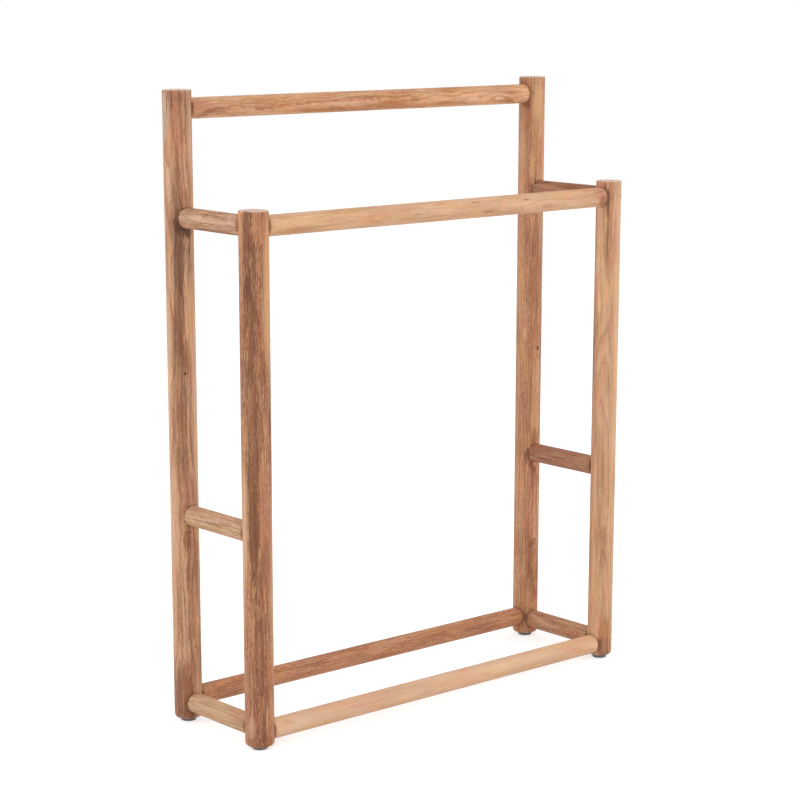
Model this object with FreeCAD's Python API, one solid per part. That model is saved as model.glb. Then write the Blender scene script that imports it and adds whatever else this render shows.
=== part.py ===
import FreeCAD, Part
import os
from collections import namedtuple

# Freestanding towel stand made of round, sanded hardwood poles.
#
# Two post-and-rail frames stand one behind the other, the back one taller, and
# short rungs tie them together at three levels on each side. Every rail and
# rung is a round bar with a square-cut shoulder and a turned tenon at each end.
# The shoulder sits on a flat seat sunk into the side of the post, and the tenon
# is glued in a blind mortise behind it. Each post stands on a round glide that
# is nailed into its end grain.
#
# Frame: millimetres, +Z up, X along the towel rails, +Y towards the taller back
# frame. The origin is on the floor, midway between the axes of the four posts.

Vector = FreeCAD.Vector
UP = Vector(0, 0, 1)

# ---- Posts ------------------------------------------------------------------
post_spacing_x = 677.0            # axis to axis, left to right
post_spacing_y = 169.0            # axis to axis, front to back
back_post_length = 894.5          # wood only, without the glide
front_post_length_left = 742.5     # the two front posts are sawn a little apart
front_post_length_right = 744.5
post_diameter_back_left = 40.5    # hand-sanded poles, each a little different
post_diameter_back_right = 40.5
post_diameter_front_left = 41.5
post_diameter_front_right = 38.5
post_top_round = 1.8              # eased rim round the sawn top
post_foot_round = 5.0             # rounded rim round the foot

# ---- Rails and rungs ----------------------------------------------------------
bar_diameter = 29.5
top_back_rail_drop = 26.0         # rail axis below the top of the back posts
top_front_rail_drop = 22.0        # rail and upper rungs below the top of the shorter front post
middle_rung_height = 306.0        # rung axis above the floor
bottom_front_rail_lift = 3.5      # underside of the bar above the foot of the posts
bottom_rung_lift = 9.0
bottom_back_rail_lift = 13.0
shoulder_round = 1.5              # eased rim of the square-cut shoulder

# ---- Joinery --------------------------------------------------------------------
seat_depth = 2.2                  # of the flat seat, below the side of the post
seat_clearance = 0.3              # round the bar, in its seat
tenon_diameter = 15.0
tenon_length = 26.0
tenon_tip_chamfer = 1.0
tenon_glue_gap = 0.1              # round the tenon, in its mortise
mortise_end_gap = 1.0             # glue well past the end of the tenon
mitre_gap = 0.5                   # between two tenons mitred inside a post

# ---- Glides -----------------------------------------------------------------------
glide_diameter = 22.0
glide_thickness = 5.5
glide_edge_round = 1.2
nail_shank_diameter = 2.2
nail_tip_gap = 2.0                # wood left between the nail and the lowest mortise
nail_point_length = 2.5
nail_head_diameter = 7.0
nail_head_thickness = 1.2
nail_head_recess = 0.8            # head above the underside of the glide
nail_hole_clearance = 0.05        # all round the nail

# ---- Modelling allowance -------------------------------------------------------
overcut = 5.0                     # how far a cutting tool runs past what it cuts

Post = namedtuple("Post", "x y radius length")
Bar = namedtuple("Bar", "first second height")

half_x = post_spacing_x / 2
half_y = post_spacing_y / 2
bar_radius = bar_diameter / 2
tenon_radius = tenon_diameter / 2
foot_height = glide_thickness
head_top_height = nail_head_recess + nail_head_thickness

POSTS = {
    "back_left": Post(-half_x, half_y, post_diameter_back_left / 2, back_post_length),
    "back_right": Post(half_x, half_y, post_diameter_back_right / 2, back_post_length),
    "front_left": Post(-half_x, -half_y, post_diameter_front_left / 2, front_post_length_left),
    "front_right": Post(half_x, -half_y, post_diameter_front_right / 2, front_post_length_right),
}

top_back_rail_height = foot_height + back_post_length - top_back_rail_drop
shorter_front_post = min(front_post_length_left, front_post_length_right)
top_front_rail_height = foot_height + shorter_front_post - top_front_rail_drop
bottom_front_rail_height = foot_height + bottom_front_rail_lift + bar_radius
bottom_rung_height = foot_height + bottom_rung_lift + bar_radius
bottom_back_rail_height = foot_height + bottom_back_rail_lift + bar_radius

BARS = {
    "rail_top_back": Bar("back_left", "back_right", top_back_rail_height),
    "rail_top_front": Bar("front_left", "front_right", top_front_rail_height),
    "rail_bottom_back": Bar("back_left", "back_right", bottom_back_rail_height),
    "rail_bottom_front": Bar("front_left", "front_right", bottom_front_rail_height),
}
for side in ("left", "right"):
    rung_posts = ("front_" + side, "back_" + side)
    BARS["rung_upper_" + side] = Bar(*rung_posts, top_front_rail_height)
    BARS["rung_middle_" + side] = Bar(*rung_posts, middle_rung_height)
    BARS["rung_bottom_" + side] = Bar(*rung_posts, bottom_rung_height)


def circle_edges(solid, height):
    """The full circles round a vertical solid at one height."""
    found = []
    for edge in solid.Edges:
        box = edge.BoundBox
        flat = box.ZLength < 1e-6 and abs(box.ZMin - height) < 1e-6
        if flat and edge.isClosed():
            found.append(edge)
    return found


def direction_from(post_name, bar):
    """Unit vector from a post's axis along the bar that is joined to it."""
    near = POSTS[post_name]
    far = POSTS[bar.second if post_name == bar.first else bar.first]
    direction = Vector(far.x - near.x, far.y - near.y, 0)
    return direction.normalize()


def bars_at(post_name):
    """The bars that are joined to a post."""
    return [bar for bar in BARS.values() if post_name in (bar.first, bar.second)]


def crossing_direction(post_name, bar):
    """Direction of the other bar whose tenon would meet this one, or None."""
    for other in bars_at(post_name):
        same_level = abs(other.height - bar.height) < tenon_diameter + mitre_gap
        if other != bar and same_level:
            return direction_from(post_name, other)
    return None


def joint_centre(post_name, bar):
    """The point on a post's axis that a bar's axis aims at."""
    post = POSTS[post_name]
    return Vector(post.x, post.y, bar.height)


def seat_centre(post_name, bar):
    """The middle of the flat seat that a bar's shoulder stands on."""
    distance = POSTS[post_name].radius - seat_depth
    return joint_centre(post_name, bar) + direction_from(post_name, bar) * distance


def make_tenon(post_name, bar):
    """A turned tenon, mitred where another one meets it inside the post."""
    centre = joint_centre(post_name, bar)
    outward = direction_from(post_name, bar)
    shoulder = seat_centre(post_name, bar)
    tip = shoulder - outward * tenon_length
    tenon = Part.makeCylinder(tenon_radius, tenon_length + overcut, tip, outward)
    tip_rim = min(tenon.Edges, key=lambda edge: edge.CenterOfMass.distanceToPoint(tip))
    tenon = tenon.makeChamfer(tenon_tip_chamfer, [tip_rim])
    crossing = crossing_direction(post_name, bar)
    if crossing is None:
        return tenon
    normal = (outward - crossing).normalize()
    plane_point = centre + normal * (mitre_gap / 2)
    beyond = Part.makeCylinder(tenon_length + tenon_diameter, tenon_length + tenon_diameter,
                               plane_point, normal * -1)
    return tenon.cut(beyond)


def make_bar(bar):
    """A round bar with rounded-over shoulders and a tenon at each end."""
    outward = direction_from(bar.first, bar)
    start = seat_centre(bar.first, bar)
    end = seat_centre(bar.second, bar)
    pole = Part.makeCylinder(bar_radius, (end - start).Length, start, outward)
    rims = [edge for edge in pole.Edges if edge.isClosed()]
    pole = pole.makeFillet(shoulder_round, rims)
    tenons = [make_tenon(bar.first, bar), make_tenon(bar.second, bar)]
    return pole.fuse(tenons).removeSplitter()


def make_joint_cuts(post_name, bar):
    """The flat seat and the blind mortise that a bar needs in a post."""
    post = POSTS[post_name]
    outward = direction_from(post_name, bar)
    seat_face = seat_centre(post_name, bar)
    seat = Part.makeCylinder(bar_radius + seat_clearance, post.radius + overcut, seat_face, outward)
    mortise_depth = tenon_length + mortise_end_gap
    mortise = Part.makeCylinder(tenon_radius + tenon_glue_gap, mortise_depth + overcut,
                                seat_face - outward * mortise_depth, outward)
    return [seat, mortise]


def make_nail_hole(post):
    """The hole that a glide's nail makes up the post's end grain."""
    radius = nail_shank_diameter / 2 + nail_hole_clearance
    depth = nail_tip_height() - foot_height + nail_hole_clearance
    below = Vector(post.x, post.y, foot_height - overcut)
    return Part.makeCylinder(radius, depth + overcut, below, UP)


def make_post(post_name):
    """A round post with its seats, mortises and nail hole cut in."""
    post = POSTS[post_name]
    foot = Vector(post.x, post.y, foot_height)
    top_height = foot_height + post.length
    pole = Part.makeCylinder(post.radius, post.length, foot, UP)
    pole = pole.makeFillet(post_top_round, circle_edges(pole, top_height))
    pole = pole.makeFillet(post_foot_round, circle_edges(pole, foot_height))
    cuts = [make_nail_hole(post)]
    for bar in bars_at(post_name):
        cuts.extend(make_joint_cuts(post_name, bar))
    return pole.cut(cuts)


def nail_tip_height():
    """Height of the nails' points, a little below the lowest mortise."""
    lowest_axis = min(bar.height for bar in BARS.values())
    return lowest_axis - tenon_radius - tenon_glue_gap - nail_tip_gap


def make_glide(post):
    """A round floor glide with a recess below for the head of its nail."""
    floor_point = Vector(post.x, post.y, 0)
    disc = Part.makeCylinder(glide_diameter / 2, glide_thickness, floor_point, UP)
    disc = disc.makeFillet(glide_edge_round, circle_edges(disc, 0))
    recess_radius = nail_head_diameter / 2 + nail_hole_clearance
    recess = Part.makeCylinder(recess_radius, head_top_height + overcut,
                               floor_point - UP * overcut, UP)
    hole = Part.makeCylinder(nail_shank_diameter / 2 + nail_hole_clearance,
                             glide_thickness + 2 * overcut, floor_point - UP * overcut, UP)
    return disc.cut([recess, hole])


def make_nail(post):
    """A flat-headed nail that holds one glide to its post."""
    head_base = Vector(post.x, post.y, nail_head_recess)
    shank_base = Vector(post.x, post.y, head_top_height)
    shank_radius = nail_shank_diameter / 2
    straight = nail_tip_height() - nail_point_length - head_top_height
    head = Part.makeCylinder(nail_head_diameter / 2, nail_head_thickness, head_base, UP)
    shank = Part.makeCylinder(shank_radius, straight, shank_base, UP)
    point = Part.makeCone(shank_radius, 0, nail_point_length, shank_base + UP * straight, UP)
    return head.fuse([shank, point])


def build_nodes():
    """Every node of the stand, by name."""
    nodes = {}
    for name, post in POSTS.items():
        nodes["post_" + name] = make_post(name)
        nodes["foot_glide_" + name] = make_glide(post)
    for name, bar in BARS.items():
        nodes[name] = make_bar(bar)
    nodes["glide_nails"] = Part.makeCompound([make_nail(post) for post in POSTS.values()])
    return nodes


os.makedirs("parts", exist_ok=True)
for node_name, shape in build_nodes().items():
    shape.exportStep(os.path.join("parts", node_name + ".step"))
    print(node_name, "solids", len(shape.Solids), "valid", shape.isValid())
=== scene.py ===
import math
from collections import namedtuple

import bmesh
import bpy
from mathutils import Matrix, Vector, noise


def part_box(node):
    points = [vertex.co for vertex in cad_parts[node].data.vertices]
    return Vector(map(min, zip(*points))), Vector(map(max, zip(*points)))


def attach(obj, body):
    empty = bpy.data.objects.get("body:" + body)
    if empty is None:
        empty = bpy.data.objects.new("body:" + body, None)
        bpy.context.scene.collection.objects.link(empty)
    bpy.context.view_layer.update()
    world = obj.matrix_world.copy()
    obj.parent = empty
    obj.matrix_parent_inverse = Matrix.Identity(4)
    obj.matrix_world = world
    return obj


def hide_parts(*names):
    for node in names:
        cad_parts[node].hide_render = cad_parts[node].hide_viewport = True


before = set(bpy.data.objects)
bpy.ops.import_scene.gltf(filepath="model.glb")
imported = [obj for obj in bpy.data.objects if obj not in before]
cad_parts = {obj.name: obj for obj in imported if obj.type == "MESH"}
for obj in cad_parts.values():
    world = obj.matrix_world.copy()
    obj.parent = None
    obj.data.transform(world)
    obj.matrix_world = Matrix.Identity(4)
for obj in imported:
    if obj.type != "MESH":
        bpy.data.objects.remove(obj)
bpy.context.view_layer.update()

# Freestanding towel stand of round sanded teak poles, in metres.
#
# Every pole is turned from a profile, then gently worn out of true the way a
# hand-sanded pole is, and the posts are carved with the seats and mortises that
# the shoulders and tenons of the bars stand in. Each pole has teak of its own,
# cut from another place in the log, from one shared grain.

# ---- Sizes that the frame doesn't give ---------------------------------------
MM = 0.001
POST_TOP_ROUND = 1.8 * MM         # eased rim round the sawn top
POST_FOOT_ROUND = 5.0 * MM
SHOULDER_ROUND = 2.0 * MM         # eased rim of a bar's square-cut shoulder
SEAT_DEPTH = 2.2 * MM             # of the flat seat that a shoulder stands on
SEAT_CLEARANCE = 0.3 * MM         # round a bar, in its seat
TENON_RADIUS = 7.5 * MM
TENON_LENGTH = 26.0 * MM
TENON_CHAMFER = 1.0 * MM
MORTISE_CLEARANCE = 0.1 * MM      # round a tenon
MORTISE_END_GAP = 1.0 * MM
MITRE_GAP = 0.5 * MM              # between two tenons that meet in a post
OVERCUT = 5.0 * MM                # how far a cutter runs past the post's side

# ---- Mesh density and tolerances ---------------------------------------------
SIDES = 72                        # round a pole
RING_STEP = 6.0 * MM              # along a pole
ROUND_STEPS = 5                   # across an eased rim
CUTTER_SIDES = 64
SHARP_ANGLE = 32                  # degrees past which an edge stays crisp
WELD_DISTANCE = 0.01 * MM
MITRE_TOLERANCE = 0.001 * MM

# ---- Wear --------------------------------------------------------------------
POST_WEAR = 0.35 * MM             # the most that sanding takes off a post's side
BAR_WEAR = 0.3 * MM
EVEN_WEAR = 0.5                   # share of that depth that goes all over
WEAR_FROM = 0.9                   # share of the radius, so tenons and ends stay true

# Broad hollows and small ones: their share of the depth, and how fast they
# change round the pole and, in each metre, along it.
Hollow = namedtuple("Hollow", "share around along")
BROAD_HOLLOW = Hollow(0.38, 0.55, 5)
SMALL_HOLLOW = Hollow(0.12, 1.6, 22)

# Every pole is worn in its own way, from its own place in the noise.
POST_WEAR_STEP = 3.7
BAR_WEAR_START = 20
BAR_WEAR_STEP = 2.9

# ---- The poles by name -------------------------------------------------------
POSTS = ("post_back_left", "post_back_right", "post_front_left", "post_front_right")
RAILS = ("rail_top_back", "rail_top_front", "rail_bottom_back", "rail_bottom_front")
RUNGS = tuple(f"rung_{level}_{side}"
              for level in ("upper", "middle", "bottom") for side in ("left", "right"))


# ---- Where each pole stands, from the frame ----------------------------------
class Pole:
    """The axis and radius of a post, rail or rung, read from its CAD box."""

    def __init__(self, node):
        low, high = (Vector(corner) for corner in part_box(node))
        size = high - low
        self.node = node
        self.centre = (low + high) / 2
        self.along = max(range(3), key=lambda axis: size[axis])
        self.radius = size[(self.along + 1) % 3] / 2
        self.length = size[self.along]
        self.direction = Vector([1.0 if axis == self.along else 0.0 for axis in range(3)])

    def turn(self):
        """The rotation that lays a pole modelled along Z on its own axis."""
        return self.direction.to_track_quat("Z", "Y").to_matrix().to_4x4()

    def place(self):
        """Puts a mesh modelled along Z at the origin where the pole is."""
        return Matrix.Translation(self.centre) @ self.turn()


poles = {node: Pole(node) for node in POSTS + RAILS + RUNGS}


def posts_of(bar):
    """The two posts that a bar stands between, from its low end to its high end."""
    across = 1 - bar.along
    near = [poles[node] for node in POSTS
            if abs(poles[node].centre[across] - bar.centre[across]) < bar.radius]
    return sorted(near, key=lambda post: post.centre[bar.along])


def bars_at(post):
    """The bars that are joined to a post."""
    return [poles[node] for node in RAILS + RUNGS if post in posts_of(poles[node])]


def outward(post, bar):
    """Unit vector from a post's axis along one of its bars."""
    sign = 1.0 if bar.centre[bar.along] > post.centre[bar.along] else -1.0
    return bar.direction * sign


def seat_centre(post, bar):
    """The middle of the flat seat that a bar's shoulder stands on."""
    middle = Vector((post.centre.x, post.centre.y, bar.centre.z))
    return middle + outward(post, bar) * (post.radius - SEAT_DEPTH)


# ---- Turned and carved meshes ------------------------------------------------
def linked(name, data):
    """A new object in the scene for a mesh, a lamp or a camera."""
    obj = bpy.data.objects.new(name, data)
    bpy.context.scene.collection.objects.link(obj)
    return obj


def quarter_round(centre_radius, centre_z, rim, start, end):
    """Points of an eased rim, from one angle to another in degrees."""
    points = []
    for step in range(ROUND_STEPS + 1):
        angle = math.radians(start + (end - start) * step / ROUND_STEPS)
        points.append((centre_radius + rim * math.cos(angle), centre_z + rim * math.sin(angle)))
    return points


def straight_side(radius, low, high):
    """Evenly spaced points up the side of a pole, without its two ends."""
    steps = max(2, round((high - low) / RING_STEP))
    return [(radius, low + (high - low) * step / steps) for step in range(1, steps)]


def turned(profile):
    """A closed turned solid from (radius, height) points that start and end on the axis."""
    bm = bmesh.new()
    verts = [bm.verts.new((radius, 0.0, z)) for radius, z in profile]
    edges = [bm.edges.new(pair) for pair in zip(verts, verts[1:])]
    bmesh.ops.spin(bm, geom=verts + edges, cent=(0, 0, 0), axis=(0, 0, 1), dvec=(0, 0, 0),
                   angle=math.tau, steps=SIDES, use_merge=True, use_duplicate=False)
    bmesh.ops.remove_doubles(bm, verts=bm.verts, dist=WELD_DISTANCE)
    bmesh.ops.recalc_face_normals(bm, faces=bm.faces)
    return bm


def post_profile(post):
    """From the middle of the foot up the side to the middle of the sawn top."""
    top = post.length / 2
    foot = -post.length / 2
    foot_round_top = foot + POST_FOOT_ROUND
    top_round_foot = top - POST_TOP_ROUND
    profile = [(0.0, foot)]
    profile += quarter_round(post.radius - POST_FOOT_ROUND, foot_round_top, POST_FOOT_ROUND, -90, 0)
    profile += straight_side(post.radius, foot_round_top, top_round_foot)
    profile += quarter_round(post.radius - POST_TOP_ROUND, top_round_foot, POST_TOP_ROUND, 0, 90)
    profile += [(0.0, top)]
    return profile


def shoulder_span(bar):
    """From one shoulder of a bar to the other."""
    first, second = posts_of(bar)
    return (seat_centre(second, bar) - seat_centre(first, bar)).length


def bar_profile(bar):
    """A tenon, a shoulder, the long side, and the same again at the other end."""
    reach = shoulder_span(bar) / 2
    tip = reach + TENON_LENGTH
    rim = SHOULDER_ROUND
    half = [(0.0, -tip), (TENON_RADIUS - TENON_CHAMFER, -tip), (TENON_RADIUS, -tip + TENON_CHAMFER)]
    half += [(TENON_RADIUS, -reach)]
    half += quarter_round(bar.radius - rim, rim - reach, rim, -90, 0)
    other = [(radius, -z) for radius, z in reversed(half)]
    return half + straight_side(bar.radius, rim - reach, reach - rim) + other


def mitre_planes(bar):
    """Where a bar's tenons meet another bar's: a point and a normal for each plane."""
    planes = []
    for post in posts_of(bar):
        for other in bars_at(post):
            level = abs(other.centre.z - bar.centre.z) < 2 * TENON_RADIUS + MITRE_GAP
            if other is bar or not level:
                continue
            normal = (outward(post, bar) - outward(post, other)).normalized()
            point = Vector((post.centre.x, post.centre.y, bar.centre.z)) + normal * MITRE_GAP / 2
            planes.append((point, normal))
    return planes


def wear(bm, pole, depth, seed):
    """Sands a pole a little out of true, always inwards, along its long side."""
    for vert in bm.verts:
        radius = math.hypot(vert.co.x, vert.co.y)
        if radius < pole.radius * WEAR_FROM:
            continue
        around = Vector((vert.co.x / radius, vert.co.y / radius, 0))
        broad_place = Vector((seed, 0, vert.co.z * BROAD_HOLLOW.along))
        small_place = Vector((0, seed, vert.co.z * SMALL_HOLLOW.along))
        broad = noise.noise(around * BROAD_HOLLOW.around + broad_place)
        small = noise.noise(around * SMALL_HOLLOW.around + small_place)
        hollow = EVEN_WEAR + BROAD_HOLLOW.share * broad + SMALL_HOLLOW.share * small
        scale = 1 - depth * hollow / radius
        vert.co.x *= scale
        vert.co.y *= scale


def carve(bm, cutter):
    """A mesh with the cutter's volume taken out of it."""
    meshes = []
    for name, source in (("carved", bm), ("cutter", cutter)):
        mesh = bpy.data.meshes.new(name)
        source.to_mesh(mesh)
        source.free()
        meshes.append(mesh)
    blank, tool = (linked(mesh.name, mesh) for mesh in meshes)
    cut = blank.modifiers.new("cut", "BOOLEAN")
    cut.operation = "DIFFERENCE"
    cut.solver = "EXACT"
    cut.use_self = True
    cut.object = tool
    depsgraph = bpy.context.evaluated_depsgraph_get()
    result = bpy.data.meshes.new_from_object(blank.evaluated_get(depsgraph))
    for obj in (blank, tool):
        bpy.data.objects.remove(obj)
    return result


def cylinder(bm, radius, start, end):
    """Adds a closed cylinder from one point to another."""
    axis = end - start
    turn = axis.to_track_quat("Z", "Y").to_matrix().to_4x4()
    bmesh.ops.create_cone(bm, cap_ends=True, cap_tris=False, segments=CUTTER_SIDES,
                          radius1=radius, radius2=radius, depth=axis.length,
                          matrix=Matrix.Translation((start + end) / 2) @ turn)


def joint_cutter(post):
    """The seats and blind mortises of one post."""
    bm = bmesh.new()
    for bar in bars_at(post):
        out = outward(post, bar)
        seat = seat_centre(post, bar)
        side = seat + out * (post.radius + OVERCUT)
        end = seat - out * (TENON_LENGTH + MORTISE_END_GAP)
        cylinder(bm, bar.radius + SEAT_CLEARANCE, seat, side)
        cylinder(bm, TENON_RADIUS + MORTISE_CLEARANCE, end, seat + out * OVERCUT)
    return bm


def finish_piece(name, mesh, node, material):
    """Links a mesh as a piece that stands in for a CAD node."""
    mesh.name = name
    mesh.shade_smooth()
    mesh.set_sharp_from_angle(angle=math.radians(SHARP_ANGLE))
    mesh.materials.clear()
    mesh.materials.append(material)
    piece = linked(name, mesh)
    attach(piece, "root")
    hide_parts(node)
    return piece


# ---- Node trees --------------------------------------------------------------
# A Mix node has several sockets of each name, so its colour ones go by number.
MIX_FACTOR = 0
MIX_FIRST = 6
MIX_SECOND = 7
MIX_RESULT = 2


def add(tree, kind, inputs=None, **settings):
    """A node with its settings, and its inputs set or linked by name or number."""
    node = tree.nodes.new(kind)
    for key, value in settings.items():
        setattr(node, key, value)
    for key, value in (inputs or {}).items():
        if isinstance(value, bpy.types.NodeSocket):
            tree.links.new(value, node.inputs[key])
        else:
            node.inputs[key].default_value = value
    return node


def calc(tree, operation, first, second=0.0, third=0.0, clamp=False):
    """The result of one Math node."""
    values = {0: first, 1: second, 2: third}
    return add(tree, "ShaderNodeMath", values, operation=operation, use_clamp=clamp).outputs[0]


def vector_calc(tree, operation, first, second):
    """The vector that one Vector Math node gives."""
    values = {0: first, 1: second}
    return add(tree, "ShaderNodeVectorMath", values, operation=operation).outputs[0]


def vector_length(tree, vector):
    """How long a vector is."""
    return add(tree, "ShaderNodeVectorMath", {"Vector": vector},
               operation="LENGTH").outputs["Value"]


def in_millimetres(tree, place):
    """A place in metres, scaled up."""
    return add(tree, "ShaderNodeVectorMath", {"Vector": place, "Scale": 1 / MM},
               operation="SCALE").outputs["Vector"]


def combined(tree, x, y, z=0.0):
    """A vector from its three parts."""
    return add(tree, "ShaderNodeCombineXYZ", {"X": x, "Y": y, "Z": z}).outputs["Vector"]


def parts_of(tree, vector):
    """The three parts of a vector."""
    return add(tree, "ShaderNodeSeparateXYZ", {"Vector": vector}).outputs


def centred(tree, noise_value):
    """Noise moved to vary about zero."""
    return calc(tree, "SUBTRACT", noise_value, 0.5)


def fade(tree, value, low, high, to_low=0.0, to_high=1.0):
    """A smooth step from one level to another."""
    node = add(tree, "ShaderNodeMapRange", {"Value": value, "From Min": low, "From Max": high,
                                            "To Min": to_low, "To Max": to_high},
               interpolation_type="SMOOTHSTEP")
    return node.outputs[0]


def mix(tree, factor, first, second, blend="MIX"):
    """A mixed colour."""
    values = {MIX_FACTOR: factor, MIX_FIRST: first, MIX_SECOND: second}
    node = add(tree, "ShaderNodeMix", values, data_type="RGBA", blend_type=blend)
    return node.outputs[MIX_RESULT]


def plain_noise(tree, place, detail, scale=1.0, rough=0.5):
    """Noise that is the same in all directions of the place it reads."""
    return add(tree, "ShaderNodeTexNoise", {"Vector": place, "Scale": scale, "Detail": detail,
                                            "Roughness": rough}).outputs[0]


def srgb(red, green, blue):
    """A colour given as 0 to 255 screen values, in the linear form that shaders take."""
    linear = []
    for value in (red, green, blue):
        share = value / 255
        linear.append(share / 12.92 if share <= 0.04045 else ((share + 0.055) / 1.055) ** 2.4)
    return (*linear, 1)


def new_group(name, inputs, outputs):
    """A shader node group with named sockets."""
    tree = bpy.data.node_groups.new(name, "ShaderNodeTree")
    for label, kind in inputs:
        tree.interface.new_socket(label, in_out="INPUT", socket_type="NodeSocket" + kind)
    for label, kind in outputs:
        tree.interface.new_socket(label, in_out="OUTPUT", socket_type="NodeSocket" + kind)
    return tree, tree.nodes.new("NodeGroupInput").outputs, tree.nodes.new("NodeGroupOutput").inputs


def new_material(name):
    """An empty material and its node tree."""
    material = bpy.data.materials.new(name)
    material.use_nodes = True
    material.node_tree.nodes.clear()
    return material, material.node_tree


def finish_surface(tree, relief, strength, distance, inputs):
    """Ends a material with one surface, embossed by a relief."""
    bump = add(tree, "ShaderNodeBump", {"Strength": strength, "Distance": distance,
                                        "Height": relief})
    surface = add(tree, "ShaderNodeBsdfPrincipled", {**inputs, "Normal": bump.outputs[0]})
    add(tree, "ShaderNodeOutputMaterial", {"Surface": surface.outputs[0]})


# ---- Teak: its grain ---------------------------------------------------------
# Each feature is noise drawn out along the pole: its size across and along in
# millimetres, its detail and roughness, and how far it is moved from the others.
Grain = namedtuple("Grain", "across along detail rough shift")
SWAY = Grain(38.0, 150.0, 1.0, 0.55, 0.0)          # of the rings
CURL = Grain(9.0, 30.0, 2.0, 0.55, 31.0)
BAND = Grain(8.0, 150.0, 1.0, 0.5, 53.0)
STREAK = Grain(2.8, 50.0, 2.0, 0.55, 7.0)
FIBRE = Grain(1.7, 13.0, 2.0, 0.6, 71.0)
TONE = Grain(22.0, 75.0, 2.0, 0.5, 91.0)           # broad light and dark
FLECK = Grain(1.2, 5.5, 1.0, 0.5, 23.0)
PORE = Grain(0.6, 11.0, 1.0, 0.7, 17.0)
OPEN_PORE = Grain(0.5, 0.5, 2.0, 0.7, 3.0)         # seen end on
SHIFT_SHARES = (1, 0.7, 1.3)      # of a shift, across, across and along
SEED_SHIFT = 137.0                # millimetres in the log between two seeds

# Warm tints that come and go: grain, the levels between which each fades in, tint.
TINTS = (
    (Grain(13.0, 60.0, 1.0, 0.5, 131.0), (0.42, 0.66), (1.04, 1.01, 0.88, 1)),    # golden
    (Grain(11.0, 48.0, 1.0, 0.5, 157.0), (0.48, 0.70), (1.02, 0.88, 0.87, 1)))    # rosy

# How dark the wood gets through one year, from its start to its end, and how
# much weaker than the strongest year the weakest can be.
YEAR = ((0.0, 0.25), (0.16, 0.0), (0.62, 0.22), (0.9, 1.0), (1.0, 0.25))
YEAR_SPREAD = 0.75

# A knot is drawn out along the pole. Its halo, which pushes the rings aside, and
# its dark heart fade out between these shares of its size.
KNOT_SHAPE = (1.0, 1.0, 0.55)
KNOT_HALO = (0.6, 4.0)
KNOT_HEART = (0.5, 1.3)
SMALLEST_KNOT = 0.01

# How far each feature takes the wood from its pale to its deep colour.
STREAK_DEPTH = 1.2
FIBRE_DEPTH = 1.5
BAND_DEPTH = 1.3
FLECK_DEPTH = 3.0
TONE_DEPTH = 1.6
MIDDLE_DEPTH = 0.36

# How strongly each feature is drawn in the line colour, and where it starts.
RING_LINE = 0.55
STREAK_LINE = 0.45
STREAK_LEVELS = (0.11, 0.26)
RING_IN_STREAK = 0.1
PORE_LINE = 0.22
PORE_LEVELS = (0.56, 0.7)
KNOT_LINE = 0.75

# The sawn ends, where pores are open and rays and cracks fan out from the heart.
SAWN_FADE = (0.15, 1.4)           # millimetres below the end
SAWN_DRY = srgb(246, 220, 205)
SAWN_DRYNESS = 0.75
SAWN_RINGS = 0.5
OPEN_PORE_LEVELS = (0.55, 0.7)
OPEN_PORE_STRENGTH = 0.3
RAYS = (60.0, 0.12, 1.0)          # noise in each radian, in each millimetre, and its detail
RAY_LEVELS = (0.5, 0.7)
RAY_STRENGTH = 0.3
CRACKS = (9.0, 0.015, 0.0)        # the same
CRACK_LEVELS = (0.005, 0.016)
CRACK_STRENGTH = 0.6

# The frayed edge of a mark follows the grain.
FRAY_MIDDLE = 0.5
GRAIN_FRAY = 0.5
FLECK_FRAY = 0.2

# Roughness and relief of the sanded surface.
TEAK_ROUGHNESS = 0.62
FIBRE_ROUGHNESS = 0.3
PORE_ROUGHNESS = 0.12
SAWN_ROUGHNESS = 0.15
RING_HEIGHT = 0.35
FIBRE_HEIGHT = 0.5
PORE_HEIGHT = -0.6


def grain_noise(tree, place, grain):
    """One feature of the grain."""
    shift = tuple(grain.shift * share for share in SHIFT_SHARES)
    shifted = vector_calc(tree, "ADD", place, shift)
    stretch = (1 / grain.across, 1 / grain.across, 1 / grain.along)
    scaled = vector_calc(tree, "MULTIPLY", shifted, stretch)
    return plain_noise(tree, scaled, grain.detail, rough=grain.rough)


def knot_in(tree, given, here):
    """How far a knot pushes the rings aside, and where its dark heart is."""
    away = vector_calc(tree, "SUBTRACT", here, given["Knot"])
    distance = vector_length(tree, vector_calc(tree, "MULTIPLY", away, KNOT_SHAPE))
    size = calc(tree, "MAXIMUM", given["Knot Size"], SMALLEST_KNOT)
    reach = calc(tree, "DIVIDE", distance, size)
    halo = fade(tree, reach, *KNOT_HALO, 1.0, 0.0)
    push = calc(tree, "MULTIPLY", halo, given["Knot Size"])
    return push, fade(tree, reach, *KNOT_HEART, 1.0, 0.0)


def growth_from_heart(tree, given, here, place, push):
    """The distance from the heart of the log as it grew, and the bearing from there."""
    x, y, along = parts_of(tree, here)
    heart_x, heart_y, _ = parts_of(tree, given["Heart"])
    from_x = calc(tree, "SUBTRACT", x, calc(tree, "MULTIPLY_ADD", along, given["Lean"], heart_x))
    from_y = calc(tree, "SUBTRACT", y, heart_y)
    sway = calc(tree, "MULTIPLY", centred(tree, grain_noise(tree, place, SWAY)), given["Wander"])
    curl = calc(tree, "MULTIPLY", centred(tree, grain_noise(tree, place, CURL)), given["Figure"])
    straight = vector_length(tree, combined(tree, from_x, from_y))
    growth = calc(tree, "ADD", calc(tree, "ADD", straight, sway), calc(tree, "ADD", curl, push))
    return growth, calc(tree, "ARCTAN2", from_y, from_x)


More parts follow.
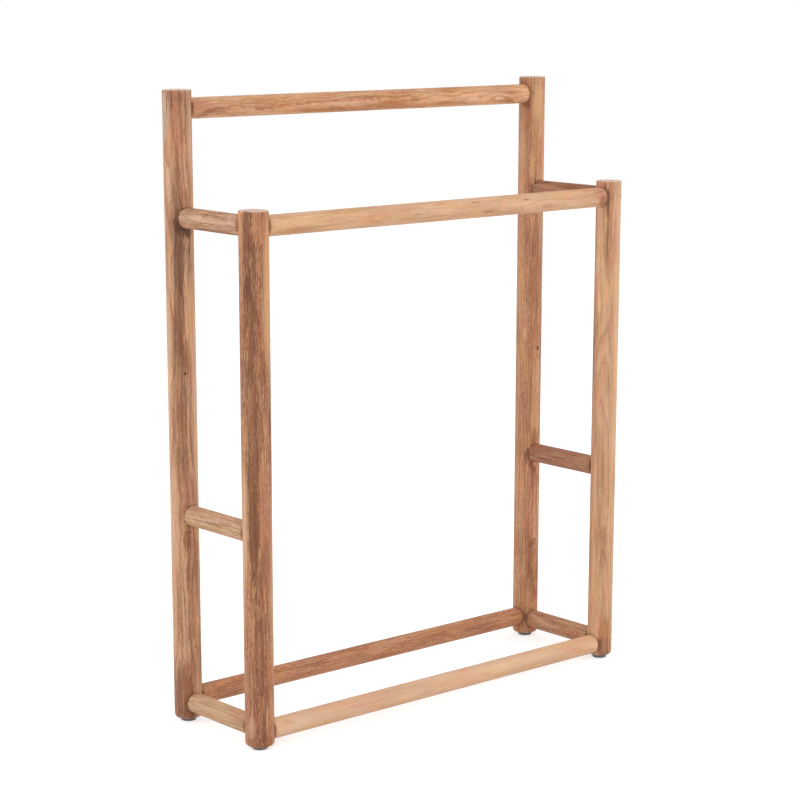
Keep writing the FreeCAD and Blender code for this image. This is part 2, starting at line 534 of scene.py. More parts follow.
def late_wood_of(tree, given, growth):
    """The dark wood that closes each year, stronger in some years."""
    years = calc(tree, "DIVIDE", growth, given["Ring Width"])
    seeded_year = calc(tree, "ADD", calc(tree, "FLOOR", years), given["Seed"])
    vigour = add(tree, "ShaderNodeTexWhiteNoise", {"W": seeded_year},
                 noise_dimensions="1D").outputs[0]
    ramp = add(tree, "ShaderNodeValToRGB", {"Fac": calc(tree, "FRACT", years)})
    stops = ramp.color_ramp.elements
    for position, _ in YEAR[1:-1]:
        stops.new(position)
    for stop, (_, level) in zip(stops, YEAR):
        stop.color = (level, level, level, 1)
    strength = calc(tree, "MULTIPLY_ADD", vigour, YEAR_SPREAD, 1 - YEAR_SPREAD)
    return calc(tree, "MULTIPLY", ramp.outputs[0], strength)


Features = namedtuple("Features", "rings band streak fibre tone fleck pores fine")


def features_of(tree, given, place, late_wood):
    """The features of the grain: rings and pores from zero up, the others about zero."""
    rings = calc(tree, "MULTIPLY", late_wood, given["Rings"])
    band, streak, fibre, tone, fleck = (centred(tree, grain_noise(tree, place, grain))
                                        for grain in (BAND, STREAK, FIBRE, TONE, FLECK))
    pores = fade(tree, grain_noise(tree, place, PORE), *PORE_LEVELS)
    fine = calc(tree, "MULTIPLY_ADD", streak, STREAK_DEPTH,
                calc(tree, "MULTIPLY", fibre, FIBRE_DEPTH))
    return Features(rings, band, streak, fibre, tone, fleck, pores, fine)


def side_wood_of(tree, given, place, features, knot_heart):
    """The wood of the long side: pale to deep, tinted, with lines over it."""
    bands = calc(tree, "MULTIPLY", features.band, BAND_DEPTH)
    flecks = calc(tree, "MULTIPLY", given["Flecks"], FLECK_DEPTH)
    depth = calc(tree, "MULTIPLY_ADD", features.fine, given["Streaks"], features.rings)
    depth = calc(tree, "MULTIPLY_ADD", bands, given["Bands"], depth)
    depth = calc(tree, "MULTIPLY_ADD", features.fleck, flecks, depth)
    depth = calc(tree, "MULTIPLY_ADD", features.tone, TONE_DEPTH, depth)
    depth = calc(tree, "ADD", depth, MIDDLE_DEPTH, clamp=True)
    wood = mix(tree, depth, given["Pale"], given["Deep"])
    for grain, levels, tint in TINTS:
        tinted = fade(tree, grain_noise(tree, place, grain), *levels)
        wood = mix(tree, tinted, wood, tint, "MULTIPLY")
    lined = calc(tree, "MULTIPLY_ADD", features.rings, RING_IN_STREAK, features.streak)
    lines = ((features.rings, RING_LINE), (fade(tree, lined, *STREAK_LEVELS), STREAK_LINE),
             (features.pores, PORE_LINE), (knot_heart, KNOT_LINE))
    for mask, strength in lines:
        wood = mix(tree, calc(tree, "MULTIPLY", mask, strength, clamp=True), wood, given["Line"])
    return wood


def fanned_noise(tree, bearing, growth, shift, spread):
    """Noise drawn out from the heart, for what fans out over a sawn end."""
    per_radian, per_millimetre, detail = spread
    fan = combined(tree, calc(tree, "MULTIPLY", bearing, per_radian),
                   calc(tree, "MULTIPLY", growth, per_millimetre), shift)
    return plain_noise(tree, fan, detail)


def sawn_wood_of(tree, given, place, bearing, growth, shift, late_wood):
    """Dry end grain, with rings, rays, cracks and open pores."""
    wood = mix(tree, SAWN_DRYNESS, given["Pale"], SAWN_DRY)
    wood = mix(tree, calc(tree, "MULTIPLY", late_wood, SAWN_RINGS), wood, given["Deep"])
    rays = fanned_noise(tree, bearing, growth, shift, RAYS)
    wood = mix(tree, fade(tree, rays, *RAY_LEVELS, 0.0, RAY_STRENGTH), wood, given["Deep"])
    cracks = centred(tree, fanned_noise(tree, bearing, growth, shift, CRACKS))
    crack = fade(tree, calc(tree, "ABSOLUTE", cracks), *CRACK_LEVELS, CRACK_STRENGTH, 0.0)
    wood = mix(tree, crack, wood, given["Line"])
    open_pores = fade(tree, grain_noise(tree, place, OPEN_PORE), *OPEN_PORE_LEVELS)
    return mix(tree, calc(tree, "MULTIPLY", open_pores, OPEN_PORE_STRENGTH), wood, given["Deep"])


def build_teak():
    """Teak cut from a log: rings round a heart, drawn-out streaks, flecks and pores."""
    inputs = [("Vector", "Vector"), ("Heart", "Vector"), ("Lean", "Float"), ("Ring Width", "Float"),
              ("Wander", "Float"), ("Figure", "Float"), ("Rings", "Float"), ("Bands", "Float"),
              ("Streaks", "Float"), ("Flecks", "Float"), ("Seed", "Float"), ("Knot", "Vector"),
              ("Knot Size", "Float"), ("Half Length", "Float"), ("Pale", "Color"),
              ("Deep", "Color"), ("Line", "Color")]
    outputs = [("Colour", "Color"), ("Roughness", "Float"), ("Height", "Float"),
               ("Fray", "Float")]
    tree, given, made = new_group("teak", inputs, outputs)
    here = in_millimetres(tree, given["Vector"])
    shift = calc(tree, "MULTIPLY", given["Seed"], SEED_SHIFT)
    place = vector_calc(tree, "ADD", here, combined(tree, shift, shift, shift))
    push, knot_heart = knot_in(tree, given, here)
    growth, bearing = growth_from_heart(tree, given, here, place, push)
    late_wood = late_wood_of(tree, given, growth)
    features = features_of(tree, given, place, late_wood)

    half = calc(tree, "MULTIPLY", given["Half Length"], 1 / MM)
    from_middle = calc(tree, "ABSOLUTE", parts_of(tree, here)["Z"])
    sawn = fade(tree, calc(tree, "SUBTRACT", half, from_middle), *SAWN_FADE, 1.0, 0.0)
    side_wood = side_wood_of(tree, given, place, features, knot_heart)
    sawn_wood = sawn_wood_of(tree, given, place, bearing, growth, shift, late_wood)
    tree.links.new(mix(tree, sawn, side_wood, sawn_wood), made["Colour"])

    drawn = calc(tree, "MULTIPLY_ADD", features.band, BAND_DEPTH, features.fine)
    fray = calc(tree, "MULTIPLY_ADD", drawn, GRAIN_FRAY, FRAY_MIDDLE)
    fray = calc(tree, "MULTIPLY_ADD", features.fleck, FLECK_FRAY, fray)
    tree.links.new(fray, made["Fray"])

    rough = calc(tree, "MULTIPLY_ADD", features.fibre, FIBRE_ROUGHNESS, TEAK_ROUGHNESS)
    rough = calc(tree, "MULTIPLY_ADD", features.pores, PORE_ROUGHNESS, rough)
    rough = calc(tree, "MULTIPLY_ADD", sawn, SAWN_ROUGHNESS, rough)
    tree.links.new(rough, made["Roughness"])

    height = calc(tree, "MULTIPLY", late_wood, RING_HEIGHT)
    height = calc(tree, "MULTIPLY_ADD", features.fibre, FIBRE_HEIGHT, height)
    height = calc(tree, "MULTIPLY_ADD", features.pores, PORE_HEIGHT, height)
    tree.links.new(height, made["Height"])
    return tree


def build_mark():
    """A soft-edged patch on a pole, frayed along the grain."""
    inputs = [("Vector", "Vector"), ("Place", "Vector"), ("Reach", "Vector"), ("Core", "Float"),
              ("Fray", "Float"), ("Raggedness", "Float"), ("Strength", "Float")]
    tree, given, made = new_group("mark", inputs, [("Mask", "Float")])
    away = vector_calc(tree, "SUBTRACT", in_millimetres(tree, given["Vector"]), given["Place"])
    distance = vector_length(tree, vector_calc(tree, "DIVIDE", away, given["Reach"]))
    ragged = calc(tree, "SUBTRACT", FRAY_MIDDLE, given["Fray"])
    frayed = calc(tree, "MULTIPLY_ADD", ragged, given["Raggedness"], distance)
    inside = fade(tree, frayed, given["Core"], 1.0, 1.0, 0.0)
    tree.links.new(calc(tree, "MULTIPLY", inside, given["Strength"]), made["Mask"])
    return tree


teak = build_teak()
mark = build_mark()


# ---- Teak: the wood of each pole ---------------------------------------------
def teak_values(pale, deep, line, heart, seed, lean=0.02, ring=4.0, wander=16.0, figure=2.0,
                rings=0.5, bands=0.6, streaks=0.9, flecks=0.2, knot=None):
    """The inputs of the teak group by name.

    The width of the rings, their wander and their finer figure are in
    millimetres, and the lean is how far the heart drifts with each millimetre
    along. A knot is an angle, a place along and a radius.
    """
    return {"Pale": srgb(*pale), "Deep": srgb(*deep), "Line": srgb(*line),
            "Heart": (*heart, 0.0), "Lean": lean, "Ring Width": ring, "Wander": wander,
            "Figure": figure, "Rings": rings, "Bands": bands, "Streaks": streaks,
            "Flecks": flecks, "Seed": seed, "Knot": knot}


# Palest wood, deepest wood and line colour of each pole, where the heart of its
# log lies from the pole's axis, in millimetres, and how its grain runs.
TEAK = {
    "post_back_left": teak_values(
        (218, 171, 136), (147, 100, 70), (114, 72, 48), heart=(-34, 26), seed=1, ring=6.0,
        wander=26.0, bands=0.75, streaks=0.45, flecks=0.3, knot=(22, 510, 1.6)),
    "post_back_right": teak_values(
        (212, 162, 124), (160, 108, 78), (126, 78, 54), heart=(30, -44), seed=2, streaks=0.6,
        flecks=0.5, knot=(-2, 475, 2.6)),
    "post_front_left": teak_values(
        (204, 150, 112), (132, 82, 56), (100, 58, 38), heart=(26, 30), seed=3, streaks=1.0,
        flecks=0.6),
    "post_front_right": teak_values(
        (225, 181, 144), (183, 138, 102), (150, 100, 70), heart=(30, 34), seed=4, lean=0.05,
        ring=5.0, wander=26.0, streaks=0.5, flecks=0.25),
    "rail_top_back": teak_values(
        (232, 182, 143), (184, 131, 92), (152, 98, 60), heart=(24, 22), seed=5, figure=8.0,
        rings=0.7, streaks=0.6, flecks=0.3),
    "rail_top_front": teak_values(
        (226, 184, 148), (200, 155, 118), (168, 118, 82), heart=(60, 20), seed=6, rings=0.35,
        streaks=0.55, flecks=0.4),
    "rail_bottom_back": teak_values(
        (206, 152, 116), (163, 109, 77), (132, 83, 57), heart=(40, 60), seed=7, rings=0.35,
        bands=0.8, streaks=1.2, flecks=0.55),
    "rail_bottom_front": teak_values(
        (229, 191, 160), (211, 168, 136), (186, 140, 106), heart=(90, 30), seed=8, rings=0.25,
        streaks=0.4, flecks=0.15),
    "rung_upper_left": teak_values(
        (208, 168, 140), (154, 110, 83), (120, 76, 54), heart=(40, 20), seed=9, bands=0.8,
        streaks=1.3, flecks=0.7),
    "rung_upper_right": teak_values(
        (174, 124, 94), (126, 80, 56), (96, 60, 40), heart=(30, 20), seed=10, streaks=0.8),
    "rung_middle_left": teak_values(
        (216, 176, 143), (176, 135, 101), (142, 99, 68), heart=(30, 34), seed=11, rings=0.6,
        bands=0.75, streaks=1.3, flecks=0.45),
    "rung_middle_right": teak_values(
        (178, 129, 101), (138, 91, 68), (104, 66, 46), heart=(28, 26), seed=12, streaks=0.8),
    "rung_bottom_left": teak_values(
        (213, 178, 142), (176, 136, 102), (140, 100, 69), heart=(26, 14), seed=13, rings=0.6,
        streaks=0.85, flecks=0.45),
    "rung_bottom_right": teak_values(
        (200, 153, 120), (153, 107, 77), (118, 78, 54), heart=(24, 30), seed=14, bands=0.7,
        streaks=1.05, flecks=0.65),
}

# ---- Marks in the wood and painted shade -------------------------------------
SAPWOOD = srgb(226, 184, 150)
HONEY = srgb(220, 168, 118)
GREYED = srgb(206, 184, 164)
AMBER = srgb(180, 110, 62)
RED_HEART = srgb(146, 90, 64)
# Also the colour of painted shade at bar shoulders and of painted shadows under bars.
HEARTWOOD_AND_SHADE = srgb(122, 76, 50)
# Also the colour of painted shade round the joints and of a painted shadow under a rung.
SMOKE_AND_SHADE = srgb(84, 50, 34)
PLUM = srgb(112, 70, 66)
ROSE = srgb(188, 122, 96)
RUST = srgb(126, 64, 44)
# Also the colour of a painted shadow under a rung.
PITH_AND_SHADOW = srgb(40, 26, 20)

# Each mark is a tone, the angle round the pole and the place along it of its
# middle, its half width and half length in millimetres, and its strength.
# Angles on a post turn from its front towards its left, and angles on a rail or
# rung from its front or left side towards its top. The place along a post is
# its height, and on a bar the distance from the middle of the stand.
MARKS = {
    "post_back_left": (
        (HEARTWOOD_AND_SHADE, 42, 560, 12, 440, 0.4),
        # Painted shadow of the upper left rung on the post, with a dark stain in it: the next five
        # marks.
        (SMOKE_AND_SHADE, 6, 709, 13, 14, 0.85),
        (PITH_AND_SHADOW, 18, 713, 7, 6, 0.6),
        (SMOKE_AND_SHADE, 46, 716, 6, 12, 0.7),
        (SMOKE_AND_SHADE, 34, 664, 13, 62, 0.55),
        (HEARTWOOD_AND_SHADE, 46, 580, 9, 74, 0.5),
        (HONEY, 0, 575, 8, 66, 0.5),
        (SAPWOOD, 94, 560, 8, 90, 0.5),
        (HEARTWOOD_AND_SHADE, 20, 534, 9, 34, 0.45),
        (RED_HEART, 42, 458, 6, 34, 0.6),
        # Painted shade under the middle left rung, with a dark stain, then a fine crack just under
        # the rung.
        (HEARTWOOD_AND_SHADE, 30, 272, 10, 22, 0.55),
        (SMOKE_AND_SHADE, 22, 283, 8, 1.4, 0.7),
        (RED_HEART, 8, 200, 12, 90, 0.4),
        (SAPWOOD, -34, 480, 12, 190, 0.6),
        (SAPWOOD, 112, 430, 7, 420, 0.4),
        (RED_HEART, 50, 46, 19, 58, 0.7),
        (HEARTWOOD_AND_SHADE, 30, 16, 16, 16, 0.6),
        (PLUM, 82, 38, 14, 44, 0.4),
        (SAPWOOD, 84, 300, 11, 110, 0.5),
        (SAPWOOD, -30, 830, 9, 60, 0.4),
        (ROSE, 46, 850, 13, 54, 0.4),
        (ROSE, 26, 330, 15, 56, 0.35),
        (GREYED, 92, 866, 8, 44, 0.6),
        (SMOKE_AND_SHADE, 70, 893, 1.2, 12, 0.55),
        (SMOKE_AND_SHADE, 80, 880, 1.2, 26, 0.7),
        (SMOKE_AND_SHADE, 58, 886, 1.2, 18, 0.55),
        (SMOKE_AND_SHADE, 90, 856, 1.1, 20, 0.5),
        (HEARTWOOD_AND_SHADE, 26, 889, 10, 7, 0.4),
        (PITH_AND_SHADOW, 22, 510, 1.6, 3.0, 0.9)),
    "post_back_right": (
        (RED_HEART, 8, 600, 15, 110, 0.45),
        (RED_HEART, 66, 850, 9, 44, 0.5),
        (HONEY, 16, 862, 9, 34, 0.6),
        (HONEY, 40, 764, 5, 26, 0.55),
        # Painted shadow under the end of the top back rail.
        (HEARTWOOD_AND_SHADE, 62, 856, 6, 6, 0.75),
        (HEARTWOOD_AND_SHADE, 90, 893, 12, 7, 0.55),
        (AMBER, 58, 836, 4, 12, 0.5),
        (SAPWOOD, 62, 500, 3, 14, 0.6),
        (RED_HEART, 4, 334, 12, 18, 0.5),
        (RED_HEART, 40, 302, 6, 18, 0.75),
        (RUST, 28, 288, 6, 9, 0.7),
        (RUST, 14, 280, 7, 10, 0.75),
        (RED_HEART, 6, 268, 11, 24, 0.6),
        (RED_HEART, 30, 140, 8, 50, 0.4),
        (HEARTWOOD_AND_SHADE, 10, 157, 9, 6, 0.65),
        (SMOKE_AND_SHADE, 2, 163, 7, 2.6, 0.6),
        (SMOKE_AND_SHADE, 24, 152, 4, 2.4, 0.5),
        (RED_HEART, 12, 140, 9, 20, 0.5),
        (HEARTWOOD_AND_SHADE, 14, 96, 7, 42, 0.5),
        (RED_HEART, 40, 30, 24, 26, 0.35),
        (PITH_AND_SHADOW, -2, 475, 2.4, 4.6, 0.95)),
    "post_front_left": (
        (HEARTWOOD_AND_SHADE, 50, 470, 13, 300, 0.45),
        (HEARTWOOD_AND_SHADE, 66, 718, 7.5, 62, 0.75),
        (SMOKE_AND_SHADE, 62, 655, 6, 34, 0.5),
        (HEARTWOOD_AND_SHADE, 54, 600, 8, 90, 0.45),
        (HEARTWOOD_AND_SHADE, 49, 318, 9, 88, 0.65),
        (ROSE, 6, 350, 12, 84, 0.5),
        (RED_HEART, 4, 268, 14, 56, 0.6),
        (SAPWOOD, 98, 320, 8, 110, 0.6),
        (RED_HEART, 30, 130, 19, 120, 0.4),
        (SAPWOOD, 112, 240, 7, 120, 0.5),
        (HONEY, -28, 640, 12, 130, 0.7),
        (SAPWOOD, -34, 200, 8, 170, 0.35),
        (AMBER, 30, 66, 3, 16, 0.5),
        (SAPWOOD, 6, 46, 2.5, 26, 0.3),
        (SAPWOOD, 72, 34, 8, 18, 0.35)),
    "post_front_right": (
        (RED_HEART, 112, 400, 10, 430, 0.3),
        (SAPWOOD, -22, 560, 12, 260, 0.5),
        (ROSE, 94, 742, 15, 14, 0.55),
        (HEARTWOOD_AND_SHADE, 64, 736, 2.4, 22, 0.65),
        (AMBER, 28, 736, 5, 26, 0.4),
        (HEARTWOOD_AND_SHADE, 48, 716, 3.5, 28, 0.65),
        (AMBER, 34, 706, 3, 26, 0.4),
        (SMOKE_AND_SHADE, -30, 728, 5, 3, 0.5),
        (HEARTWOOD_AND_SHADE, 46, 672, 1.8, 72, 0.7),
        (PLUM, 122, 470, 6, 100, 0.75),
        (PITH_AND_SHADOW, 46, 473, 1.0, 2.0, 0.7),
        (AMBER, 24, 44, 14, 40, 0.6),
        (RED_HEART, 30, 20, 17, 24, 0.6),
        (HEARTWOOD_AND_SHADE, 16, 8, 12, 9, 0.5)),
    "rail_top_back": (
        (ROSE, 8, -303, 16, 26, 0.5),
        (AMBER, -40, 20, 7, 320, 0.3),
        (AMBER, -12, 52, 4.5, 56, 0.65),
        (AMBER, -6, -180, 3, 66, 0.6),
        (AMBER, 10, -90, 2, 90, 0.5),
        (HEARTWOOD_AND_SHADE, -24, -285, 7, 34, 0.5),
        (PLUM, -78, -200, 3, 130, 0.5),
        (AMBER, 30, 236, 3.5, 50, 0.5),
        (SAPWOOD, 40, 240, 6, 70, 0.35)),
    "rail_top_front": (
        (AMBER, -8, 314, 14, 16, 0.5),
        (ROSE, 30, 306, 12, 26, 0.55),
        (RED_HEART, -24, 313, 11, 11, 0.6),
        (HEARTWOOD_AND_SHADE, 40, 311, 2.0, 7, 0.6),
        (HEARTWOOD_AND_SHADE, 8, 314, 1.6, 6, 0.5),
        (AMBER, -30, -268, 6, 50, 0.5),
        (AMBER, 52, -216, 4, 28, 0.3),
        (HEARTWOOD_AND_SHADE, 40, 52, 1.4, 13, 0.6),
        (HEARTWOOD_AND_SHADE, -22, 76, 1.4, 12, 0.6),
        (HEARTWOOD_AND_SHADE, 30, 152, 2.0, 9, 0.5)),
    "rail_bottom_back": (
        (HEARTWOOD_AND_SHADE, 18, 226, 4, 72, 0.5),
        (AMBER, 40, 190, 5, 70, 0.4),
        (PLUM, 84, 20, 4, 250, 0.3)),
    "rail_bottom_front": ((AMBER, 40, -300, 6, 16, 0.25),),
    "rung_upper_left": (
        (SAPWOOD, 12, 0, 4.5, 62, 0.45),
        (HEARTWOOD_AND_SHADE, -50, 0, 4, 60, 0.4)),
    "rung_upper_right": ((SMOKE_AND_SHADE, 40, -10, 5, 40, 0.4),),
    "rung_middle_left": ((HEARTWOOD_AND_SHADE, 6, 4, 2.2, 52, 0.5),),
    "rung_middle_right": (
        (SMOKE_AND_SHADE, -16, 30, 3, 40, 0.6),
        (SMOKE_AND_SHADE, 14, 6, 2, 30, 0.45),
        (RED_HEART, 10, 58, 10, 10, 0.5)),
    "rung_bottom_left": (
        (SAPWOOD, 16, 0, 7, 60, 0.3),
        (HEARTWOOD_AND_SHADE, -40, -16, 2.6, 46, 0.45)),
    "rung_bottom_right": ((HEARTWOOD_AND_SHADE, 30, 0, 4, 44, 0.4),),
}

MARK_CORE = 0.45                  # share of a mark's reach where it is at full strength
MARK_RAGGEDNESS = 1.25            # of a long mark
RAGGED_PER_MM = 0.08              # a short mark keeps its outline

# Painted shade with some grime sits in the corner round each joint, a thin line of painted
# shade is right at the seat, and painted shade with some stain darkens a bar's shoulders.
Shade = namedtuple("Shade", "strength reach raggedness")
JOINT_SHADE = Shade(0.12, 6.0, 0.9)      # reach in millimetres past the side of the bar
JOINT_SHADE_LINE = Shade(0.3, 1.6, 0.7)
SHOULDER_SHADE = Shade(0.12, 6.0, 0.8)   # reach in millimetres along the bar
ALL_ROUND = 1000                         # a reach that takes in the whole of a bar's width


def side_directions(pole):
    """The directions that angles on a pole start from and turn towards."""
    if pole.node in POSTS:
        return Vector((0, -1, 0)), Vector((-1, 0, 0))
    if pole.node in RAILS:
        return Vector((0, -1, 0)), Vector((0, 0, 1))
    return Vector((-1, 0, 0)), Vector((0, 0, 1))


def spot(pole, angle, along):
    """A point on a pole's side in the pole's own coordinates, in millimetres."""
    start, turned_to = side_directions(pole)
    radians = math.radians(angle)
    point = Vector(pole.centre)
    point[pole.along] = along * MM
    point += (start * math.cos(radians) + turned_to * math.sin(radians)) * pole.radius
    return (pole.place().inverted() @ point) / MM


def own_marks(pole):
    """The marks in a pole's own wood, and a few painted shadows under bars: the tone of each and
    the inputs of the mark group.
    """
    for tone, angle, along, half_width, half_length, strength in MARKS[pole.node]:
        yield tone, {"Place": spot(pole, angle, along),
                     "Reach": (half_width, half_width, half_length),
                     "Core": MARK_CORE,
                     "Raggedness": min(MARK_RAGGEDNESS, half_length * RAGGED_PER_MM),
                     "Strength": strength}


def joint_shade_marks(post):
    """Painted shade and grime round each bar that a post carries."""
    for bar in bars_at(post):
        bar_radius = bar.radius / MM
        for shade in (JOINT_SHADE, JOINT_SHADE_LINE):
            reach = bar_radius + shade.reach
            yield SMOKE_AND_SHADE, {"Place": post.place().inverted() @ seat_centre(post, bar) / MM,
                          "Reach": (reach,) * 3,
                          "Core": bar_radius / reach,
                          "Raggedness": shade.raggedness,
                          "Strength": shade.strength}


def shoulder_shade_marks(bar):
    """Painted shade, with some stain, at both shoulders of a bar."""
    for end in (-1, 1):
        yield HEARTWOOD_AND_SHADE, {"Place": (0, 0, end * shoulder_span(bar) / 2 / MM),
                          "Reach": (ALL_ROUND, ALL_ROUND, SHOULDER_SHADE.reach),
                          "Core": 0.0,
                          "Raggedness": SHOULDER_SHADE.raggedness,
                          "Strength": SHOULDER_SHADE.strength}


# ---- Materials ---------------------------------------------------------------
TEAK_GLOSS = 0.35
TEAK_RELIEF = (0.35, 0.25 * MM)   # strength and depth of the relief

GLIDE_DARK = srgb(96, 94, 94)
GLIDE_PALE = srgb(120, 118, 116)
GLIDE_DUST = srgb(170, 166, 160)
GRIT_SCALE = 1800.0               # patches in a metre
CLOUD_SCALE = 160.0
SCUFFED_EDGE = (0.2 * MM, 1.6 * MM)      # above the floor
SCUFFED_CLOUD = (0.35, 0.65)
SCUFF_STRENGTH = 0.6
GRIT_ROUGHNESS = (0.2, 0.8, 0.48, 0.7)   # from these levels of grit to this roughness
GRIT_RELIEF = (0.4, 0.08 * MM)

STEEL_BRIGHT = srgb(196, 196, 198)
STEEL_DULL = srgb(142, 132, 124)
DRAWN_SCALE = (4000.0, 4000.0, 160.0)    # scratches in a metre, across, across and along
SPOT_SCALE = 900.0
SPOT_LEVELS = (0.55, 0.7)
STEEL_ROUGHNESS = (0.3, 0.6)      # bright, then dull
STEEL_RELIEF = (0.3, 0.03 * MM)


def teak_material(pole, values):
    """Teak for one pole, with the grain running along it."""
    material, tree = new_material("teak_" + pole.node)
    place = add(tree, "ShaderNodeTexCoord").outputs["Object"]
    mapping = add(tree, "ShaderNodeMapping", {"Vector": place, "Location": pole.centre,
                                              "Rotation": pole.turn().to_euler()},
                  vector_type="TEXTURE").outputs[0]
    inputs = {"Vector": mapping, "Half Length": pole.length / 2, **values}
    knot = inputs.pop("Knot")
    if knot:
        angle, along, size = knot
        inputs["Knot"] = spot(pole, angle, along)
        inputs["Knot Size"] = size
    wood = add(tree, "ShaderNodeGroup", inputs, node_tree=teak).outputs
    colour = wood["Colour"]
    # Posts take painted shade round their joints, and bars at their shoulders.
    joint_shades = joint_shade_marks(pole) if pole.node in POSTS else shoulder_shade_marks(pole)
    for tone, shape in (*own_marks(pole), *joint_shades):
        patch = add(tree, "ShaderNodeGroup", {"Vector": mapping, "Fray": wood["Fray"], **shape},
                    node_tree=mark)
        colour = mix(tree, patch.outputs["Mask"], colour, tone)
    finish_surface(tree, wood["Height"], *TEAK_RELIEF,
                   {"Base Color": colour, "Roughness": wood["Roughness"],
                    "Specular IOR Level": TEAK_GLOSS})
    return material


def glide_material():
    """Moulded dark plastic, scuffed and dusty where it slides."""
    material, tree = new_material("glide_plastic")
    place = add(tree, "ShaderNodeTexCoord").outputs["Object"]
    grit = plain_noise(tree, place, 2.0, GRIT_SCALE)
    cloud = plain_noise(tree, place, 3.0, CLOUD_SCALE)
    edge = fade(tree, parts_of(tree, place)["Z"], *SCUFFED_EDGE, 1.0, 0.0)
    scuffed = calc(tree, "MULTIPLY", edge, fade(tree, cloud, *SCUFFED_CLOUD))
    colour = mix(tree, cloud, GLIDE_DARK, GLIDE_PALE)
    colour = mix(tree, calc(tree, "MULTIPLY", scuffed, SCUFF_STRENGTH), colour, GLIDE_DUST)
    finish_surface(tree, grit, *GRIT_RELIEF,
                   {"Base Color": colour, "Roughness": fade(tree, grit, *GRIT_ROUGHNESS)})
    return material


def nail_material():
    """Bright drawn steel with a few dull spots."""
    material, tree = new_material("nail_steel")
    place = add(tree, "ShaderNodeTexCoord").outputs["Object"]
    drawn = add(tree, "ShaderNodeMapping", {"Vector": place, "Scale": DRAWN_SCALE},
                vector_type="POINT").outputs[0]
    scratches = plain_noise(tree, drawn, 2.0)
    dull = fade(tree, plain_noise(tree, place, 2.0, SPOT_SCALE), *SPOT_LEVELS)
    finish_surface(tree, scratches, *STEEL_RELIEF,
                   {"Base Color": mix(tree, dull, STEEL_BRIGHT, STEEL_DULL), "Metallic": 1.0,
                    "Roughness": fade(tree, dull, 0.0, 1.0, *STEEL_ROUGHNESS)})
    return material


# ---- Poles -------------------------------------------------------------------
def build_post(post, seed):
    """A worn post, carved for the bars that it carries."""
    bm = turned(post_profile(post))
    wear(bm, post, POST_WEAR, seed)
    bmesh.ops.transform(bm, matrix=post.place(), verts=bm.verts)
    mesh = carve(bm, joint_cutter(post))
    return finish_piece(post.node + "_pole", mesh, post.node, teak_material(post, TEAK[post.node]))


def mitre(bm, bar):
    """Cuts a bar's tenons back where they meet other tenons."""
    for point, normal in mitre_planes(bar):
        cut = bmesh.ops.bisect_plane(bm, geom=bm.verts[:] + bm.edges[:] + bm.faces[:],
                                     dist=MITRE_TOLERANCE, plane_co=point, plane_no=-normal,
                                     clear_outer=True)
        rim = [item for item in cut["geom_cut"] if isinstance(item, bmesh.types.BMEdge)]
        bmesh.ops.holes_fill(bm, edges=rim, sides=0)
    bmesh.ops.recalc_face_normals(bm, faces=bm.faces)


def build_bar(bar, seed):
    """A worn rail or rung with its two tenons."""
    bm = turned(bar_profile(bar))
    wear(bm, bar, BAR_WEAR, seed)
    first, second = posts_of(bar)
    middle = (seat_centre(first, bar) + seat_centre(second, bar)) / 2
    place = Matrix.Translation(middle) @ bar.turn()
    bmesh.ops.transform(bm, matrix=place, verts=bm.verts)
    mitre(bm, bar)
    mesh = bpy.data.meshes.new(bar.node)
    bm.to_mesh(mesh)
    bm.free()
    return finish_piece(bar.node + "_pole", mesh, bar.node, teak_material(bar, TEAK[bar.node]))


for number, node in enumerate(POSTS):
    build_post(poles[node], number * POST_WEAR_STEP)
for number, node in enumerate(RAILS + RUNGS):
    build_bar(poles[node], BAR_WEAR_START + number * BAR_WEAR_STEP)

# ---- Glides and nails: the frame's own pieces --------------------------------
plastic = glide_material()
steel = nail_material()
for node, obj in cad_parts.items():
    if node.startswith("foot_glide_") or node == "glide_nails":
        obj.data.materials.clear()
        obj.data.materials.append(steel if node == "glide_nails" else plastic)


# ---- Floor and light ---------------------------------------------------------
FLOOR_SIZE = 12.0
FLOOR_COLOUR = (0.86, 0.86, 0.86, 1)
FLOOR_GLOW = 0.5                  # seen by the camera only, so it lights nothing
FLOOR_GLOW_COLOUR = (0.96, 1.0, 1.02, 1)
SKY_LIGHT = 0.70

# Square lamps: place, the point each one faces, size and power.
LAMPS = {
    "lamp_over": ((-0.3, -0.9, 2.5), (0, 0, 0.4), 1.2, 5),
    "lamp_left": ((-2.0, 1.5, 1.1), (0, 0, 0.45), 1.4, 16),
    "lamp_right": ((1.9, -1.7, 1.1), (0, 0, 0.45), 1.4, 14),
    "lamp_front": ((-1.7, -2.0, 1.3), (0, 0, 0.45), 1.4, 9),
}


def seen(tree):
    """One where the camera looks, straight, in gloss or through glass, and zero elsewhere."""
    path = add(tree, "ShaderNodeLightPath").outputs
    return calc(tree, "MAXIMUM", path["Is Camera Ray"],
                calc(tree, "MAXIMUM", path["Is Glossy Ray"], path["Is Transmission Ray"]))


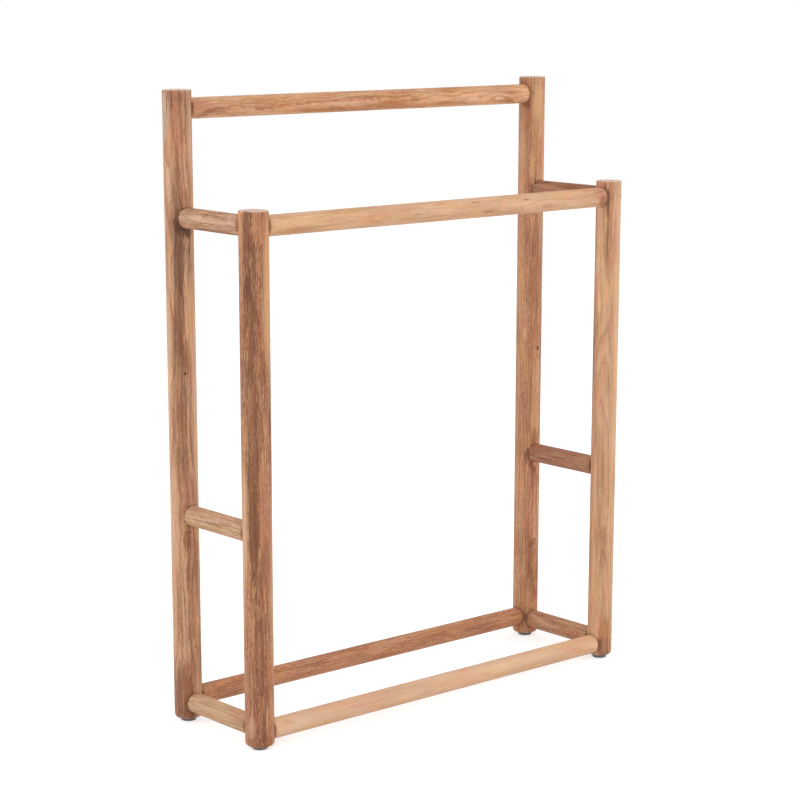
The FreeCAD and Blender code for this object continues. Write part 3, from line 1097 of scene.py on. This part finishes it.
def plain_floor():
    """A matt white floor that keeps the object's shadow."""
    bm = bmesh.new()
    bmesh.ops.create_grid(bm, x_segments=1, y_segments=1, size=FLOOR_SIZE / 2)
    mesh = bpy.data.meshes.new("floor")
    bm.to_mesh(mesh)
    bm.free()
    floor = linked("floor", mesh)
    material, tree = new_material("floor_white")
    matt = add(tree, "ShaderNodeBsdfDiffuse", {"Color": FLOOR_COLOUR})
    strength = calc(tree, "MULTIPLY", seen(tree), FLOOR_GLOW)
    glow = add(tree, "ShaderNodeEmission", {"Color": FLOOR_GLOW_COLOUR, "Strength": strength})
    both = add(tree, "ShaderNodeAddShader", {0: matt.outputs[0], 1: glow.outputs[0]})
    add(tree, "ShaderNodeOutputMaterial", {"Surface": both.outputs[0]})
    mesh.materials.append(material)


def white_world():
    """An even white sky, plain white where the camera and gloss see it."""
    world = bpy.data.worlds.new("studio")
    bpy.context.scene.world = world
    world.use_nodes = True
    tree = world.node_tree
    tree.nodes.clear()
    strength = add(tree, "ShaderNodeMapRange",
                   {"Value": seen(tree), "To Min": SKY_LIGHT, "To Max": 1.0}).outputs[0]
    sky = add(tree, "ShaderNodeBackground", {"Color": (1, 1, 1, 1), "Strength": strength})
    add(tree, "ShaderNodeOutputWorld", {"Surface": sky.outputs[0]})


def soft_box(name, place, target, size, power):
    """A square lamp that faces a point and stays out of the picture."""
    light = bpy.data.lights.new(name, "AREA")
    light.shape = "SQUARE"
    light.size = size
    light.energy = power
    lamp = linked(name, light)
    lamp.location = place
    lamp.rotation_euler = (Vector(target) - Vector(place)).to_track_quat("-Z", "Y").to_euler()
    lamp.visible_camera = False


plain_floor()
white_world()
for name, settings in LAMPS.items():
    soft_box(name, *settings)

# ---- Camera ------------------------------------------------------------------
CAMERA_PLACE = (-2.18279, -2.49790, 1.04674)
CAMERA_AZIMUTH = -41.061          # degrees from +Y, negative towards +X
CAMERA_PITCH = 12.358             # degrees below level
CAMERA_ROLL = 0.071
CAMERA_FOCUS = 2284.15            # focal length in pixels of the photograph
PHOTO_WIDTH = 800                 # pixels
CAMERA_SHIFT = 0.10               # the picture is a crop, taken above the lens's axis
SENSOR = 36.0                     # millimetres across

lens = bpy.data.cameras.new("camera")
lens.sensor_width = SENSOR
lens.lens = SENSOR * CAMERA_FOCUS / PHOTO_WIDTH
lens.shift_y = CAMERA_SHIFT
camera = linked("camera", lens)
camera.location = CAMERA_PLACE
camera.rotation_euler = (Matrix.Rotation(math.radians(CAMERA_AZIMUTH), 3, "Z")
                         @ Matrix.Rotation(math.radians(90 - CAMERA_PITCH), 3, "X")
                         @ Matrix.Rotation(math.radians(CAMERA_ROLL), 3, "Z")).to_euler()
bpy.context.scene.camera = camera
bpy.context.scene.view_settings.view_transform = "Standard"
